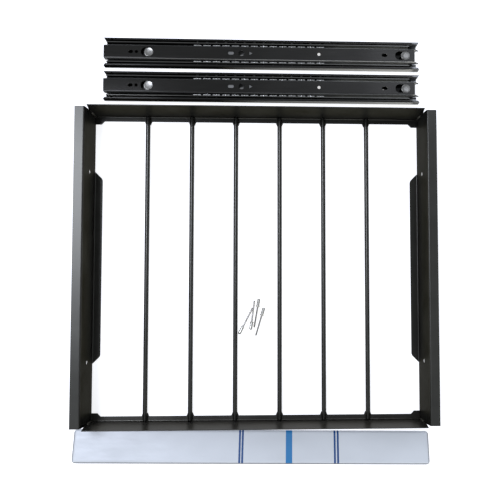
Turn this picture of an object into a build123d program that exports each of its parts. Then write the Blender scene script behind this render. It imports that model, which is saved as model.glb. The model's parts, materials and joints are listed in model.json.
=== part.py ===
from build123d import *
import math
import os

# Slide-out wine rack, laid out flat as a kit: welded frame with rods, front strip with its film,
# two closed telescopic slides and four blind rivets. Millimetres, floor at z = 0, +Y to the rack's back.

# Rack frame, folded from sheet
sheet = 1.2
bend_inside = 1.2
rack_width_inside = 510.4
rack_depth = 478.0
rack_height = 64.0
top_flange_width = 13.5
top_flange_setback = 3.0
lug_length = 298.0
lug_width = 12.0
lug_chamfer = 11.0
lug_corner_radius = 8.0
rivet_hole_radius = 2.5
rivet_hole_spacing = 288.0
rivet_hole_height = 31.5
end_flange_width = 7.5
corner_notch_width = 4.0
corner_notch_depth = 28.0
corner_tab_base = 13.8
corner_tab_tip = 9.0
weld_radius = 2.5
weld_start = 3.0
weld_length = 24.0
cutter_overrun = 1.0

# Rods and the tongues that carry their ends
rod_count = 6
rod_pitch = 69.1
rod_radius = 3.5
rod_end_chamfer = 1.3
tongue_reach = 5.0
tongue_base = 11.6
tongue_tip = 7.6

# Front strip and its film
strip_length = 547.5
strip_face = 50.0
strip_sheet = 1.0
strip_bend_radius = 4.0
strip_corner_radius = 5.0
strip_inner_lip = 5.0
strip_outer_lip = 17.0
strip_gap = 13.0
strip_centre_x = -6.2
strip_turn = -0.85
film_thickness = 0.15
film_margin = 1.0

# Blind rivets: places are the middle of each rivet, headings run from body end to pin end in degrees
rivet_body_radius = 2.4
rivet_body_length = 10.0
rivet_flange_radius = 4.0
rivet_flange_thickness = 1.2
mandrel_radius = 1.4
mandrel_tail = 33.0
mandrel_head_length = 1.8
mandrel_head_chamfer = 0.7
mandrel_play = 0.05
rivet_places = ((-18.2, -84.1), (-7.8, -75.1), (-1.4, -71.9), (3.7, -85.3))
rivet_headings = (62.9, 82.5, 260.6, 253.7)

# Telescopic slides: s runs along a slide from its left tip, y across it, z up
slide_length = 500.0
slide_left_x = -242.0
slide_rows_behind_rack = (99.9, 46.4)
member_sheet = 1.2
member_bend = 0.8
outer_width = 45.0
outer_height = 12.3
outer_lip = 3.5
outer_setback = 2.5
outer_web_setback = 5.0
outer_tip_width = 0.6
middle_width = 32.4
middle_height = 9.7
middle_start = 4.2
inner_width = 22.0
inner_top = 12.7
inner_skirt = 8.1
inner_corner_radius = 1.6
inner_tip_length = 8.0
inner_tip_drop = 6.4
inner_tip_ledge = 0.1
web_gap = 0.2
cage_sheet = 0.8
cage_web = 0.6
cage_bridge = 5.0
cage_length = 207.0
cage_middle = 243.8
cage_notch_length = 3.6
cage_notch_depth = 2.4
ball_count = 14
ball_pitch = 15.0
ball_play = 0.1
pocket_play = 0.1
pocket_grip = 1.2
inner_ball_height = 7.4
outer_ball_height = 6.6
screw_hole_first = 43.5
screw_hole_last_setback = 56.5
screw_hole_radius = 2.1
rack_hole_first = 51.0
rack_hole_radius = 2.5
access_radius = 5.0
disc_radius = 6.8
disc_play = 0.2
disc_thickness = 1.2
disc_rim_width = 1.3
disc_rim = 0.8
left_disc_place = 70.5
left_disc_slot = 12.5
right_disc_setback = 21.5
right_disc_slot = 17.3
buffer_length = 9.0
buffer_width = 18.0
buffer_height = 8.2
buffer_corner_radius = 1.5
buffer_setback = 1.5
buffer_gap = 0.5
lip_notch_radius = 1.4
end_lip_notch = 13.0
back_lip_notches = (118.0, 360.0)

# Openings in the inner member beside its holes: place, overall length and width
relief_slots = ((199.3, 9.5, 5.2), (42.0, 7.5, 5.2))
end_slot_setback = 56.0
end_slot_length = 9.0
end_slot_width = 5.5
relief_hole = (216.0, 4.5)
arrow_place = 230.0
arrow_size = 3.4
middle_holes = ((199.8, 8.0), (339.0, 7.5))
outer_holes = ((199.8, 3.2), (339.0, 7.5))

# Worked out from the sizes above
half_inside = rack_width_inside / 2
half_outside = half_inside + sheet
half_flange = half_outside + top_flange_width
half_depth = rack_depth / 2
wall_inside = half_depth - sheet
top_flange_length = rack_depth - 2 * top_flange_setback
rail_notch = wall_inside - top_flange_length / 2
rod_places = [(n - (rod_count - 1) / 2) * rod_pitch for n in range(rod_count)]
rod_height = sheet + rod_radius
strip_inner_edge = -half_depth - strip_gap


def bent_sheet(points, thickness, inside_radius):
    """Cross-section of sheet folded along a line of corners that lies in the middle of its thickness."""
    if len(points) > 2:
        line = FilletPolyline(*points, radius=inside_radius + thickness / 2)
    else:
        line = Line(*points)
    return trace(line, line_width=thickness)


def along_y(profile, length):
    """A cross-section drawn in x and z, run equally to front and back."""
    section = Plane(origin=(0, 0, 0), x_dir=(1, 0, 0), z_dir=(0, -1, 0)) * profile
    return extrude(section, amount=length / 2, both=True)


def along_x(profile, start, length):
    """A cross-section drawn in y and z, run from start towards +X."""
    return extrude(Plane.YZ.offset(start) * profile, amount=length)


def plate(points, thickness, bottom=0.0):
    """A flat plate with a straight-sided outline."""
    outline = make_face(Polyline(*points, close=True))
    return Pos(0, 0, bottom) * extrude(outline, amount=thickness)


def side_rail():
    """Right side rail: web, outward top flange, inward bottom lug and two rivet holes."""
    web_x = half_inside + sheet / 2
    middle = sheet / 2
    top = [(half_flange, rack_height - middle), (web_x, rack_height - middle), (web_x, 0)]
    upper = along_y(bent_sheet(top, sheet, bend_inside), top_flange_length)
    web_box = Pos(web_x, 0, rack_height / 2) * Box(sheet, 2 * wall_inside, rack_height)
    bend_outside = bend_inside + sheet
    clear_top = Pos(half_inside, 0, rack_height) * Box(4 * bend_outside, rack_depth, 2 * bend_outside)
    web = web_box - clear_top
    lug_rise = 2 * bend_outside
    lug_gap = Pos(web_x, 0, lug_rise / 2) * Box(2 * sheet, lug_length, lug_rise)
    web = web + upper - lug_gap
    lug_line = [(web_x, lug_rise), (web_x, middle), (half_inside - lug_width, middle)]
    lug = along_y(bent_sheet(lug_line, sheet, bend_inside), lug_length)
    tip_x = half_inside - lug_width
    end_y = lug_length / 2
    lug_plan = make_face(Polyline(
        (half_outside, end_y),
        (tip_x + lug_chamfer, end_y),
        (tip_x, end_y - lug_chamfer),
        (tip_x, lug_chamfer - end_y),
        (tip_x + lug_chamfer, -end_y),
        (half_outside, -end_y),
        close=True,
    ))
    lug_plan = fillet(lug_plan.vertices().sort_by(Axis.X)[:2], lug_corner_radius)
    rail = web + (lug & extrude(lug_plan, amount=rack_height))
    for side in (1, -1):
        hole = Pos(web_x, side * rivet_hole_spacing / 2, rivet_hole_height) * Rot(0, 90, 0)
        rail = rail - hole * Cylinder(rivet_hole_radius, 4 * sheet)
        end_y = side * wall_inside
        notch = [
            (end_y, rack_height - corner_notch_depth),
            (end_y, rack_height),
            (end_y - side * rail_notch, rack_height),
        ]
        notch_face = make_face(Polyline(*notch, close=True))
        rail = rail - extrude(Plane.YZ.offset(half_inside - sheet) * notch_face, amount=3 * sheet)
    return rail


def tongue(centre_x, base, tip, wall_y):
    """Tapered tongue on the front rail's bottom flange, reaching inwards."""
    root = wall_y + end_flange_width - sheet
    edge = wall_y + end_flange_width
    outline = [
        (centre_x - base / 2, root),
        (centre_x - base / 2, edge),
        (centre_x - tip / 2, edge + tongue_reach),
        (centre_x + tip / 2, edge + tongue_reach),
        (centre_x + base / 2, edge),
        (centre_x + base / 2, root),
    ]
    return plate(outline, sheet)


def end_rail():
    """Front rail: web, inward bottom flange, tongues under the rods and in both corners."""
    middle = sheet / 2
    wall_y = -wall_inside
    fold = 2 * (bend_inside + sheet)
    web = Pos(0, -half_depth + middle, rack_height / 2) * Box(2 * half_outside, sheet, rack_height)
    web = web - Pos(0, -half_depth + middle, 0) * Box(rack_width_inside, 2 * sheet, 2 * fold)
    line = [(-half_depth + middle, fold), (-half_depth + middle, middle), (wall_y + end_flange_width, middle)]
    rail = web + along_x(bent_sheet(line, sheet, bend_inside), -half_inside, rack_width_inside)
    for place in rod_places:
        rail = rail + tongue(place, tongue_base, tongue_tip, wall_y)
    for side in (1, -1):
        root = wall_y + end_flange_width - sheet
        edge = wall_y + end_flange_width
        corner = [
            (side * half_inside, root),
            (side * half_inside, edge + tongue_reach),
            (side * (half_inside - corner_tab_tip), edge + tongue_reach),
            (side * (half_inside - corner_tab_base), edge),
            (side * (half_inside - corner_tab_base), root),
        ]
        rail = rail + plate(corner, sheet)
        notch = [
            (side * half_outside, rack_height - corner_notch_depth),
            (side * half_outside, rack_height),
            (side * (half_outside - corner_notch_width), rack_height),
        ]
        rail = rail - along_y(make_face(Polyline(*notch, close=True)), 2 * rack_depth)
    return rail


def rods():
    rod = Cylinder(rod_radius, 2 * wall_inside, rotation=(90, 0, 0))
    rod = chamfer(rod.edges().filter_by(GeomType.CIRCLE), rod_end_chamfer)
    return [Pos(place, 0, rod_height) * rod for place in rod_places]


def corner_welds():
    """Quarter-round weld beads up the four inner corners."""
    bead = Cylinder(weld_radius, weld_length, align=(Align.CENTER, Align.CENTER, Align.MIN))
    keep = Box(2 * half_inside, 2 * wall_inside, 4 * weld_length)
    beads = []
    for x in (half_inside, -half_inside):
        for y in (wall_inside, -wall_inside):
            beads.append((Pos(x, y, weld_start) * bead & keep).solid())
    return Compound(beads)


def strip_blank(length, width, inset):
    """Rounded lid shape of the strip with its face at z = 0 and its inner edge at y = 0."""
    height = 2 * strip_outer_lip
    body = Pos(0, -strip_face / 2, -height / 2 - inset) * Box(length, width, height)
    body = fillet(body.edges().filter_by(Axis.Z), strip_corner_radius - inset)
    top = body.faces().sort_by(Axis.Z)[-1]
    return fillet(top.edges(), strip_bend_radius - inset)


def place_strip(shape):
    """Lays the strip down on its lips, its outer edge high, in front of the rack."""
    tilt = math.degrees(math.asin((strip_outer_lip - strip_inner_lip) / strip_face))
    return Pos(0, 0, strip_inner_lip) * Rot(-tilt, 0, 0) * shape


def front_strip():
    shell = strip_blank(strip_length, strip_face, 0.0) - strip_blank(
        strip_length - 2 * strip_sheet, strip_face - 2 * strip_sheet, strip_sheet
    )
    laid = place_strip(shell)
    ground = Pos(0, 0, -strip_face) * Box(2 * strip_length, 4 * strip_face, 2 * strip_face)
    return Pos(strip_centre_x, strip_inner_edge, 0) * Rot(0, 0, strip_turn) * (laid - ground)


def protective_film():
    flat = strip_bend_radius + film_margin
    film = Pos(0, -strip_face / 2, film_thickness / 2) * Box(
        strip_length - 2 * flat, strip_face - 2 * flat, film_thickness
    )
    return Pos(strip_centre_x, strip_inner_edge, 0) * Rot(0, 0, strip_turn) * place_strip(film)


def round_bar(radius, start, length):
    """Cylinder along +X from start."""
    bar = Cylinder(radius, length, rotation=(0, 90, 0), align=(Align.CENTER, Align.CENTER, Align.MIN))
    return Pos(start, 0, 0) * bar


def rivet_layout(shape, place, heading):
    """Lays a rivet on its flange rim and the tip of its pin, and turns it to its heading."""
    flange_end = rivet_body_length + rivet_flange_thickness
    tip = flange_end + mandrel_tail
    lean = math.atan((rivet_flange_radius - mandrel_radius) / mandrel_tail)
    height = rivet_flange_radius * math.cos(lean)
    shape = Rot(0, math.degrees(lean), 0) * Pos(-flange_end, 0, 0) * shape
    middle = flange_end - (tip - mandrel_head_length) / 2
    return Pos(*place, height) * Rot(0, 0, heading) * Pos(middle, 0, 0) * shape


def rivet_body():
    """Tube with a domed flange, blind end at x = 0."""
    body = round_bar(rivet_body_radius, 0, rivet_body_length)
    flange = round_bar(rivet_flange_radius, rivet_body_length, rivet_flange_thickness)
    bore_length = rivet_body_length + rivet_flange_thickness + 2 * cutter_overrun
    return body + flange - round_bar(mandrel_radius + mandrel_play, -cutter_overrun, bore_length)


def rivet_mandrel():
    """Pulling pin whose head sits on the blind end of the body."""
    length = rivet_body_length + rivet_flange_thickness + mandrel_tail
    pin = round_bar(mandrel_radius, 0, length)
    head = round_bar(rivet_body_radius, -mandrel_head_length, mandrel_head_length)
    head = chamfer(head.edges().filter_by(GeomType.CIRCLE).sort_by(Axis.X)[0], mandrel_head_chamfer)
    return pin + head


def slot_cut(place, length, width):
    """Obround cutter through a slide, along it."""
    return Pos(place, 0, 0) * extrude(SlotOverall(length, width), amount=2 * inner_top, both=True)


def hole_cut(place, radius):
    return Pos(place, 0, 0) * Cylinder(radius, 4 * inner_top)


slide_rows_y = [half_depth + behind for behind in slide_rows_behind_rack]
screw_places = (screw_hole_first, slide_length - screw_hole_last_setback)
rack_places = (rack_hole_first, rack_hole_first + rivet_hole_spacing)
middle_web = member_sheet + 2 * web_gap + cage_web
middle_inside = middle_width / 2 - member_sheet
inner_ball_y = (middle_inside + inner_width / 2) / 2
inner_ball_radius = (middle_inside - inner_width / 2) / 2 - ball_play
outer_inside = outer_width / 2 - member_sheet
outer_ball_y = (outer_inside + middle_width / 2) / 2
outer_ball_radius = (outer_inside - middle_width / 2) / 2 - ball_play
buffer_start = slide_length - outer_web_setback - buffer_setback - buffer_length
middle_length = buffer_start - buffer_gap - middle_start
inner_web_end = slide_length - inner_tip_length
disc_places = (left_disc_place, slide_length - right_disc_setback)
disc_slots = (left_disc_slot, right_disc_slot)
end_slot = (slide_length - end_slot_setback, end_slot_length, end_slot_width)
lip_notches = [(end_lip_notch, 1), (end_lip_notch, -1)] + [(place, 1) for place in back_lip_notches]


def outer_member():
    half = (outer_width - member_sheet) / 2
    low = member_sheet / 2
    high = outer_height - member_sheet / 2
    lip = outer_width / 2 - outer_lip
    line = [(lip, high), (half, high), (half, low), (-half, low), (-half, high), (-lip, high)]
    member = along_x(bent_sheet(line, member_sheet, member_bend), 0, slide_length)
    reach = outer_width / 2 - outer_tip_width
    for end in (0, slide_length):
        inwards = 1 if end == 0 else -1
        notch = [
            (end - inwards * cutter_overrun, reach),
            (end, reach),
            (end + inwards * outer_setback, lip),
            (end + inwards * outer_setback, inner_width / 2),
            (end + inwards * outer_web_setback, inner_width / 2 - member_sheet),
            (end + inwards * outer_web_setback, member_sheet - inner_width / 2),
            (end + inwards * outer_setback, -inner_width / 2),
            (end + inwards * outer_setback, -lip),
            (end, -reach),
            (end - inwards * cutter_overrun, -reach),
        ]
        member = member - plate(notch, 2 * outer_height, -outer_height / 2)
    for place in screw_places:
        member = member - hole_cut(place, screw_hole_radius)
    for place, radius in outer_holes:
        member = member - hole_cut(place, radius)
    for place, side in lip_notches:
        notch = Cylinder(lip_notch_radius, 4 * member_sheet)
        member = member - Pos(place, side * lip, outer_height) * notch
    return member


def middle_member():
    half = (middle_width - member_sheet) / 2
    low = middle_web + member_sheet / 2
    high = middle_web + middle_height
    line = [(half, high), (half, low), (-half, low), (-half, high)]
    member = along_x(bent_sheet(line, member_sheet, member_bend), middle_start, middle_length)
    for place in screw_places + rack_places:
        member = member - hole_cut(place, access_radius)
    for place, radius in middle_holes:
        member = member - hole_cut(place, radius)
    return member


def inner_member():
    half = (inner_width - member_sheet) / 2
    high = inner_top - member_sheet / 2
    low = inner_top - inner_skirt
    line = [(half, low), (half, high), (-half, high), (-half, low)]
    member = along_x(bent_sheet(line, member_sheet, member_bend), 0, slide_length)
    tips = [
        (inner_web_end, inner_top + cutter_overrun),
        (inner_web_end, inner_top),
        (slide_length, inner_top - inner_tip_drop),
        (slide_length + cutter_overrun, inner_top - inner_tip_drop),
        (slide_length + cutter_overrun, inner_top + cutter_overrun),
    ]
    member = member - along_y(make_face(Polyline(*tips, close=True)), 2 * inner_width)
    web_cut = Box(slide_length, inner_width - 2 * (member_sheet + inner_tip_ledge), 4 * inner_top)
    member = member - Pos(inner_web_end + slide_length / 2, 0, 0) * web_cut
    for side in (1, -1):
        block = Box(2 * inner_corner_radius, 2 * inner_corner_radius, 4 * inner_top)
        block = Pos(0, side * inner_width / 2, 0) * block
        keep = Pos(inner_corner_radius, side * (inner_width / 2 - inner_corner_radius), 0)
        member = member - (block - keep * Cylinder(inner_corner_radius, 6 * inner_top))
    for place in rack_places:
        member = member - hole_cut(place, rack_hole_radius)
    for place, length, width in relief_slots + (end_slot,):
        member = member - slot_cut(place, length, width)
    member = member - hole_cut(*relief_hole)
    member = member - Pos(arrow_place, 0, 0) * extrude(
        RegularPolygon(arrow_size, 3), amount=2 * inner_top, both=True
    )
    window = disc_radius + disc_play
    for place, reach in zip(disc_places, disc_slots):
        length = reach + window
        member = member - slot_cut(place - reach + length / 2, length, 2 * window)
    return member


def disc_studs():
    """Flush steel discs in the inner member's windows, held by a rim under its web."""
    studs = []
    under = inner_top - member_sheet
    for place in disc_places:
        boss = Cylinder(disc_radius, disc_thickness, align=(Align.CENTER, Align.CENTER, Align.MIN))
        rim_radius = disc_radius + disc_rim_width
        rim = Cylinder(rim_radius, disc_rim, align=(Align.CENTER, Align.CENTER, Align.MAX))
        studs.append((Pos(place, 0, under) * (boss + rim)).solid())
    return Compound(studs)


def cage(centre_y, bottom, ball_height, ball_radius):
    """Ball retainer: two pocketed strips joined by a bridge at each end."""
    start = cage_middle - cage_length / 2
    top = ball_height + pocket_grip
    frame = None
    for side in (1, -1):
        strip = Box(cage_length, cage_sheet, top - bottom, align=(Align.CENTER, Align.CENTER, Align.MIN))
        strip = Pos(cage_middle, side * centre_y, bottom) * strip
        for ball_x in ball_places():
            pocket = Cylinder(ball_radius + pocket_play, 4 * cage_sheet, rotation=(90, 0, 0))
            strip = strip - Pos(ball_x, side * centre_y, ball_height) * pocket
        for ball_x in ball_places()[1:]:
            notch = Box(cage_notch_length, 4 * cage_sheet, 2 * cage_notch_depth)
            strip = strip - Pos(ball_x - ball_pitch / 2, side * centre_y, top) * notch
        frame = strip if frame is None else frame + strip
    for bridge_x in (start + cage_bridge / 2, start + cage_length - cage_bridge / 2):
        bridge = Box(cage_bridge, 2 * centre_y + cage_sheet, cage_web)
        frame = frame + Pos(bridge_x, 0, bottom + cage_web / 2) * bridge
    return frame


def ball_places():
    return [cage_middle + (n - (ball_count - 1) / 2) * ball_pitch for n in range(ball_count)]


def balls(centre_y, height, radius):
    rows = []
    for side in (1, -1):
        for ball_x in ball_places():
            rows.append(Pos(ball_x, side * centre_y, height) * Sphere(radius))
    return Compound([row.solid() for row in rows])


def rear_buffer():
    block = Box(buffer_length, buffer_width, buffer_height, align=(Align.MIN, Align.CENTER, Align.MIN))
    block = fillet(block.edges().filter_by(Axis.Z), buffer_corner_radius)
    return Pos(buffer_start, 0, member_sheet) * block


def slide_pieces():
    """All pieces of one closed slide, its left tip at x = 0."""
    inner_cage_bottom = middle_web + member_sheet + web_gap
    outer_cage_bottom = member_sheet + web_gap
    return {
        "outer_member": outer_member(),
        "outer_ball_cage": cage(outer_ball_y, outer_cage_bottom, outer_ball_height, outer_ball_radius),
        "outer_balls": balls(outer_ball_y, outer_ball_height, outer_ball_radius),
        "middle_member": middle_member(),
        "inner_ball_cage": cage(inner_ball_y, inner_cage_bottom, inner_ball_height, inner_ball_radius),
        "inner_balls": balls(inner_ball_y, inner_ball_height, inner_ball_radius),
        "inner_member": inner_member(),
        "disc_studs": disc_studs(),
        "rear_buffer": rear_buffer(),
    }


def build_kit():
    pieces = {}
    right = side_rail()
    front = end_rail()
    pieces["frame_right_rail"] = right
    pieces["frame_left_rail"] = mirror(right, about=Plane.YZ)
    pieces["frame_front_rail"] = front
    pieces["frame_back_rail"] = mirror(front, about=Plane.XZ)
    for number, rod in enumerate(rods(), start=1):
        pieces[f"bottle_rod_{number}"] = rod
    pieces["corner_welds"] = corner_welds()
    pieces["front_strip"] = front_strip()
    pieces["protective_film"] = protective_film()
    for name, piece in (("rivet_bodies", rivet_body()), ("rivet_mandrels", rivet_mandrel())):
        laid = [rivet_layout(piece, *spot).solid() for spot in zip(rivet_places, rivet_headings)]
        pieces[name] = Compound(laid)
    for number, row_y in enumerate(slide_rows_y, start=1):
        for name, piece in slide_pieces().items():
            pieces[f"slide_{number}_{name}"] = Pos(slide_left_x, row_y, 0) * piece
    return pieces


# The origin is on the floor under the middle of the whole layout
kit = build_kit()
layout_box = Compound([piece for piece in kit.values()]).bounding_box()
origin_x = (layout_box.min.X + layout_box.max.X) / 2
origin_y = (layout_box.min.Y + layout_box.max.Y) / 2
os.makedirs("parts", exist_ok=True)
for name, piece in kit.items():
    export_step(Pos(-origin_x, -origin_y, 0) * piece, f"parts/{name}.step")
print(f"{len(kit)} nodes, origin {origin_x:.3f} {origin_y:.3f}")
print(f"size {layout_box.size.X:.2f} {layout_box.size.Y:.2f} {layout_box.size.Z:.2f}")
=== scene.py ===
import json
import math

import bmesh
import bpy
from bpy.props import FloatProperty, FloatVectorProperty, IntProperty, PointerProperty
from mathutils import Matrix, Vector, noise

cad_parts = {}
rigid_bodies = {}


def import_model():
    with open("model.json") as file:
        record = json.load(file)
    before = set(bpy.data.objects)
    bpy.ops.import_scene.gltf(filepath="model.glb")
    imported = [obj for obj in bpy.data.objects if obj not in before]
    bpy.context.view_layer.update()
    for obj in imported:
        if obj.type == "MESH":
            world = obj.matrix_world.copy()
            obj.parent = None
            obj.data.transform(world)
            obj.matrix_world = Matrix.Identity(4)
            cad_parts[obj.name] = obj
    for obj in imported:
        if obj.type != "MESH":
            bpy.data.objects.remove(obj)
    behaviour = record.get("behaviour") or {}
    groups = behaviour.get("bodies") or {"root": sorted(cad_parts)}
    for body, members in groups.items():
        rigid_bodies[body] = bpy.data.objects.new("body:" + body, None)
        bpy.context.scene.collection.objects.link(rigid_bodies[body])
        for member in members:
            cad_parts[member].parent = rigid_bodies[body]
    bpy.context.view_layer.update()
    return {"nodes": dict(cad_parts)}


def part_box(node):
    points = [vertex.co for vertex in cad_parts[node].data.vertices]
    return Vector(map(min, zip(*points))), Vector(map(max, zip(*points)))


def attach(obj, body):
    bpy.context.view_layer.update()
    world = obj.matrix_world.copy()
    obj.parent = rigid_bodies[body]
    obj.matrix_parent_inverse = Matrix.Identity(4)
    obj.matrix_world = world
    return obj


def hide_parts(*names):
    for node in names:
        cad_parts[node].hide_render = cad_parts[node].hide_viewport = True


bl_info = {
    "name": "Slide-out wine rack",
    "version": (1, 0, 0),
    "blender": (4, 5, 0),
    "location": "View3D > Sidebar > Wine Rack",
    "description": "Finishes and fine pieces of a slide-out wine rack laid out as a kit",
    "category": "Object",
}

MM = 0.001
# Points nearer to each other than this count as one point, in metres
TOUCHING = 0.001 * MM
ALONG = Vector((1, 0, 0))
ACROSS = Vector((0, 1, 0))
UP = Vector((0, 0, 1))

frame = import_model()


def linear(hex_code):
    """An sRGB hex colour as linear red, green and blue."""
    channels = [int(hex_code[n : n + 2], 16) / 255 for n in (1, 3, 5)]
    return tuple(c / 12.92 if c <= 0.04045 else ((c + 0.055) / 1.055) ** 2.4 for c in channels)


def slide_node(number, part):
    """Name of the frame node of one part of slide 1 or 2."""
    return f"slide_{number}_{part}"


def node_middle(name):
    """Middle of a frame node's box."""
    low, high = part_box(name)
    return (low + high) / 2


RACK_MIDDLE = (node_middle("frame_left_rail") + node_middle("frame_right_rail")) / 2
# Rise of the strip's leaning face, per length across it
STRIP_RISE = 12 / 50


def size_property(name, description, millimetres):
    """A length, given in millimetres and kept in metres."""
    return FloatProperty(
        name=name, description=description, default=millimetres * MM, unit="LENGTH", precision=5
    )


def angle_property(name, description, radians):
    """An angle."""
    return FloatProperty(name=name, description=description, default=radians, unit="ROTATION")


def colour_property(name, description, hex_code):
    """A colour, given as an sRGB hex code and kept linear."""
    return FloatVectorProperty(
        name=name,
        description=description,
        default=linear(hex_code),
        subtype="COLOR",
        size=3,
        min=0.0,
        max=1.0,
    )


class WineRackSizes(bpy.types.PropertyGroup):
    """Sizes of the fine pieces and of the stage."""

    film_thickness: size_property("Film thickness", "Protective film on the strip", 0.12)
    film_lift: size_property("Film lift", "Height of the film's small air blisters", 0.10)
    strip_length: size_property("Strip length", "Front strip, end to end", 547.5)
    strip_face: size_property("Strip face", "Width of the strip's face", 50.0)
    strip_bend: size_property("Strip bend", "Outer radius of the strip's folded edges", 4.0)
    strip_corner: size_property("Strip corner", "Corner radius of the strip in plan", 5.0)
    strip_tilt: angle_property("Strip tilt", "Slope of the face, outer edge high", math.asin(STRIP_RISE))
    strip_turn: angle_property("Strip turn", "Turn of the strip on the floor", math.radians(-0.85))
    rivet_body_radius: size_property("Rivet body radius", "Blind rivet's tube", 2.4)
    rivet_body_length: size_property("Rivet body length", "Blind rivet's tube", 10.0)
    rivet_flange_radius: size_property("Rivet flange radius", "Domed flange", 4.0)
    rivet_flange_height: size_property("Rivet flange height", "Domed flange", 1.2)
    pin_radius: size_property("Pin radius", "Pulling pin", 1.4)
    pin_tail: size_property("Pin tail", "Pin beyond the flange", 33.0)
    pin_head: size_property("Pin head", "Head on the blind end", 1.8)
    pin_rib_pitch: size_property("Pin rib pitch", "Grip ribs along the pin's tail", 1.9)
    disc_radius: size_property("Disc radius", "Steel disc in the slide's window", 6.8)
    disc_thickness: size_property("Disc thickness", "Steel disc in the slide's window", 1.2)
    disc_rim_width: size_property("Disc rim width", "Rim that holds the disc under the web", 0.5)
    disc_rim: size_property("Disc rim", "Thickness of that rim", 0.8)
    disc_dish: size_property("Disc dish", "Depth of the disc's shallow dish", 0.35)
    leaf_depth: size_property("Leaf depth", "From the inner member's top to its release leaf", 1.25)
    leaf_width: size_property("Leaf width", "Release leaf under the inner member's web", 9.0)
    leaf_thickness: size_property("Leaf thickness", "Release leaf under the inner member's web", 0.4)
    web_middle: size_property("Side web", "From the rack's middle to the middle of its side web", 255.8)
    rivet_hole_radius: size_property("Rivet hole radius", "Holes in the side webs", 2.5)
    rivet_hole_spacing: size_property("Rivet hole spacing", "Along each side web", 288.0)
    rivet_hole_height: size_property("Rivet hole height", "Above the floor", 31.5)
    hole_rim_length: size_property("Hole rim length", "Bare rim through the side web", 1.3)
    hole_rim_wall: size_property("Hole rim wall", "Thickness of the bare rim", 0.15)
    bead_radius: size_property("Weld bead radius", "Corner beads of the frame", 2.5)
    bead_ripple: size_property("Weld ripple", "Height of one ripple of the bead", 0.18)
    bead_pitch: size_property("Weld pitch", "Length of one ripple of the bead", 1.5)
    floor_radius: size_property("Floor radius", "Round floor", 4000.0)
    wall_height: size_property("Wall height", "Wall round the floor", 2500.0)
    turn_steps: IntProperty(name="Turning steps", description="Sides of a turned piece", default=32, min=8)


class WineRackColours(bpy.types.PropertyGroup):
    """Colours of the finishes."""

    rack_coat: colour_property("Rack coat", "Satin black powder coat, as it reflects head on", "#464540")
    # Painted light: the front rail's coat is a lighter copy of the rack coat
    lit_front_coat: colour_property("Lit front coat", "Lighter coat of the front rail, as painted light", "#52504a")
    slide_coat: colour_property("Slide plating", "Black plating of the slide members", "#2e2d2a")
    # Painted highlight on the side-facing folds and walls of the slide members, stronger towards their right
    # ends
    slide_highlight: colour_property("Plating highlight", "Painted highlight on the folds and walls of the slide members", "#cbc9c0")
    # Painted highlight on the top rims of the middle members
    slide_rim_highlight: colour_property("Rim highlight", "Painted highlight on the top rims of the middle members", "#575650")
    # Painted light on the right ends of the outer members
    slide_end_light: colour_property("Lit end", "Painted light on the right end of the outer members", "#72726f")
    # Painted light on the floor of the middle members beyond the inner ball cages
    slide_track_light: colour_property("Lit track", "Painted light on the floor of the middle members", "#a8a79f")
    # Painted shade on the right end of the middle members' web
    slide_web_shade: colour_property("Shaded web", "Painted shade on the web of the middle members", "#090908")
    # Painted light on the middle members' web under the slot and release mark
    slide_patch_light: colour_property("Lit patch", "Lit patch on the web of the middle members", "#9a9892")
    leaf_zinc: colour_property("Release leaf", "Zinc plated leaf under the release slot and mark", "#6a6965")
    # Black of the outer ball cages, also the painted shade below the upper edges of the inner ball cages
    cage_black_and_shade: colour_property("Outer cage plating", "Black plating of the outer ball cages, and painted shade on the inner ones", "#201f1e")
    cage_zinc: colour_property("Inner cage plating", "Zinc plating of the inner ball cages", "#b8b6ae")
    film_tint: colour_property("Film", "Bluish white protective film", "#dadddc")
    # Painted shade on the film over the strip's folds and ends
    film_fold_shade: colour_property("Shade at the folds", "Painted shade on the film over the strip's folds", "#3f4044")
    film_stripe: colour_property("Wide stripe", "Mid blue stripe across the film", "#287bb2")
    film_line: colour_property("Thin lines", "Dark blue lines across the film", "#00427c")
    strip_steel: colour_property("Strip steel", "Brushed stainless steel", "#b9bbbd")
    ball_steel: colour_property("Ball steel", "Polished bearing steel", "#d4d2ca")
    # Painted shade: the balls of the outer rows are darkened where they sit deep in the gap between members
    shaded_ball_steel: colour_property("Shaded ball steel", "Balls of the outer rows, darkened as painted shade", "#3c3b38")
    disc_steel: colour_property("Disc steel", "Nickel plated steel discs", "#7d7b74")
    rivet_aluminium: colour_property("Rivet aluminium", "Drawn aluminium", "#c2bfb4")
    pin_steel: colour_property("Pin steel", "Zinc plated pin", "#a09d94")
    # Near white hole rims stand for light seen through the holes, as painted light
    lit_hole_rim: colour_property("Hole rim", "Near white in the rivet holes, painted light seen through them", "#eeece6")
    buffer_rubber: colour_property("Buffer", "Black nitrile rubber", "#161616")
    wall_paint: colour_property("Wall", "Pale grey wall round the floor", "#a6a7a8")
    floor_paint: colour_property("Floor", "White seamless floor", "#e8e8e8")


def rgba(colour):
    """A colour with full alpha."""
    return (*colour, 1.0)


def scaled(colour, factor):
    """A lighter or darker shade of a colour."""
    return rgba([min(1.0, c * factor) for c in colour])


def add_node(tree, kind, inputs=None, **settings):
    """Adds a shader node with its settings; inputs holds values, or the outputs that feed its sockets."""
    node = tree.nodes.new("ShaderNode" + kind)
    for key, value in settings.items():
        setattr(node, key, value)
    for key, value in (inputs or {}).items():
        if isinstance(value, bpy.types.NodeSocket):
            tree.links.new(value, node.inputs[key])
        else:
            node.inputs[key].default_value = value
    return node


def calculated(tree, operation, *values, **settings):
    """Result of one operation on one or two values; MULTIPLY joins two masks into what both cover."""
    return add_node(tree, "Math", dict(enumerate(values)), operation=operation, **settings).outputs[0]


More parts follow.
